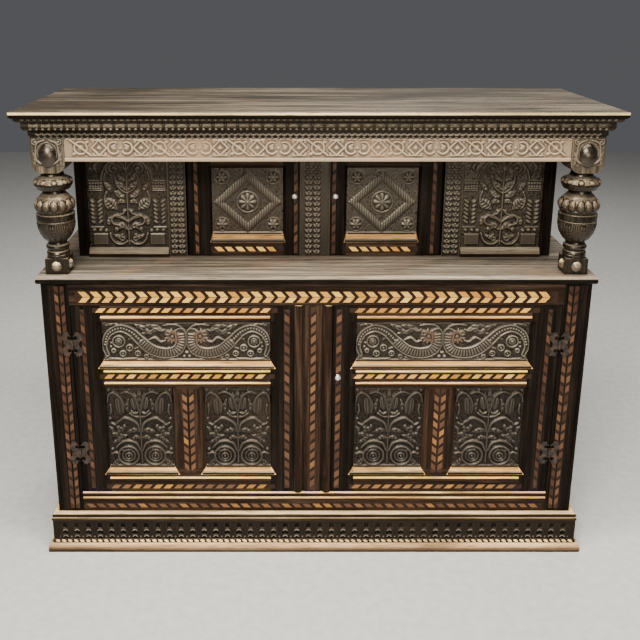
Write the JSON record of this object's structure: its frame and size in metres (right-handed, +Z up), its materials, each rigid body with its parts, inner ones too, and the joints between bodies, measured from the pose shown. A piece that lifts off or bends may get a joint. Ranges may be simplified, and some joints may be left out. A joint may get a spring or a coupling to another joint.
{
  "type": "court cupboard",
  "caption": "Joined oak court cupboard with a panelled two-door base, a recessed two-door stage and a frieze carried on turned cup-and-cover columns.",
  "frame": {"origin": "on the floor under the middle of the whole piece, halfway across its width and depth", "axes": "+X to the right along the front, +Y towards the wall behind, +Z up; the doors face -Y"},
  "size_m": [1.82, 0.65, 1.506],
  "materials": {
    "dark_waxed_oak": "dark brown oak, waxed to a satin sheen, worn paler on edges",
    "carved_panel_oak": "carved dark oak, waxed on the high parts and dull in the ground",
    "worn_board_oak": "greyish brown oak boards, rubbed and dry",
    "pale_frieze_oak": "lighter tan oak, carved and waxed",
    "unpolished_oak": "dry unpolished oak",
    "wrought_iron": "blackened wrought iron, rubbed on its edges",
    "turned_knob": "pale white metal, softly polished"
  },
  "bodies": {
    "carcass": {"back_posts": "dark_waxed_oak", "column_block_bosses": "dark_waxed_oak", "column_left": "dark_waxed_oak", "column_right": "dark_waxed_oak", "corner_blocks": "dark_waxed_oak", "corner_bosses": "dark_waxed_oak", "cornice": "dark_waxed_oak", "door_stops": "unpolished_oak", "foot_moulding": "dark_waxed_oak", "frieze_front": "pale_frieze_oak", "frieze_sides": "pale_frieze_oak", "front_posts": "dark_waxed_oak", "hinge_leaves_posts": "wrought_iron", "hinge_pins": "wrought_iron", "lower_back_boards": "unpolished_oak", "lower_back_rails": "unpolished_oak", "lower_bottom_rail": "dark_waxed_oak", "lower_centre_muntin": "dark_waxed_oak", "lower_floor_boards": "unpolished_oak", "lower_side_panels": "carved_panel_oak", "lower_side_rails": "dark_waxed_oak", "lower_top_rail": "dark_waxed_oak", "middle_board": "worn_board_oak", "nulled_muntin_centre": "dark_waxed_oak", "nulled_muntins_outer": "dark_waxed_oak", "plinth_boards": "dark_waxed_oak", "plinth_cap_moulding": "dark_waxed_oak", "stage_back_boards": "unpolished_oak", "stage_back_posts": "dark_waxed_oak", "stage_carved_panels": "carved_panel_oak", "stage_end_stiles": "dark_waxed_oak", "stage_side_panels": "carved_panel_oak", "stage_side_rails": "dark_waxed_oak", "stage_sills": "dark_waxed_oak", "stage_top_rail": "dark_waxed_oak", "top_boards": "worn_board_oak"},
    "lower_door_left": {"hinge_leaves_door_left": "wrought_iron", "lower_door_left_muntin": "dark_waxed_oak", "lower_door_left_panels": "carved_panel_oak", "lower_door_left_rails": "dark_waxed_oak", "lower_door_left_stiles": "dark_waxed_oak"},
    "lower_door_right": {"hinge_leaves_door_right": "wrought_iron", "lower_door_right_muntin": "dark_waxed_oak", "lower_door_right_panels": "carved_panel_oak", "lower_door_right_rails": "dark_waxed_oak", "lower_door_right_stiles": "dark_waxed_oak"},
    "upper_door_left": {"upper_door_left_panel": "carved_panel_oak", "upper_door_left_pivots": "wrought_iron", "upper_door_left_rails": "dark_waxed_oak", "upper_door_left_stiles": "dark_waxed_oak"},
    "upper_door_right": {"upper_door_right_panel": "carved_panel_oak", "upper_door_right_pivots": "wrought_iron", "upper_door_right_rails": "dark_waxed_oak", "upper_door_right_stiles": "dark_waxed_oak"},
    "lower_knob_right": {"lower_catch": "unpolished_oak", "lower_knob": "turned_knob"},
    "upper_knob_left": {"upper_catch_left": "unpolished_oak", "upper_knob_left": "turned_knob"},
    "upper_knob_right": {"upper_catch_right": "unpolished_oak", "upper_knob_right": "turned_knob"}
  },
  "joints": [
    {"name": "lower_left_door_hinge", "type": "hinge", "parent": "carcass", "child": "lower_door_left", "pos_m": [-0.783, -0.2843, 0.55], "axis": [0, 0, -1], "range_deg": [0, 165]},
    {"name": "lower_right_door_hinge", "type": "hinge", "parent": "carcass", "child": "lower_door_right", "pos_m": [0.783, -0.2843, 0.55], "axis": [0, 0, 1], "range_deg": [0, 165]},
    {"name": "upper_left_door_pivot", "type": "hinge", "parent": "carcass", "child": "upper_door_left", "pos_m": [-0.4145, -0.068, 1.16], "axis": [0, 0, -1], "range_deg": [0, 90]},
    {"name": "upper_right_door_pivot", "type": "hinge", "parent": "carcass", "child": "upper_door_right", "pos_m": [0.4145, -0.068, 1.16], "axis": [0, 0, 1], "range_deg": [0, 90]},
    {"name": "lower_right_knob_turn", "type": "hinge", "parent": "lower_door_right", "child": "lower_knob_right", "pos_m": [0.072, -0.279, 0.642], "axis": [0, 1, 0], "range_deg": [0, 90]},
    {"name": "upper_left_knob_turn", "type": "hinge", "parent": "upper_door_left", "child": "upper_knob_left", "pos_m": [-0.0675, -0.079, 1.197], "axis": [0, -1, 0], "range_deg": [0, 90]},
    {"name": "upper_right_knob_turn", "type": "hinge", "parent": "upper_door_right", "child": "upper_knob_right", "pos_m": [0.0675, -0.079, 1.197], "axis": [0, 1, 0], "range_deg": [0, 90]}
  ]
}
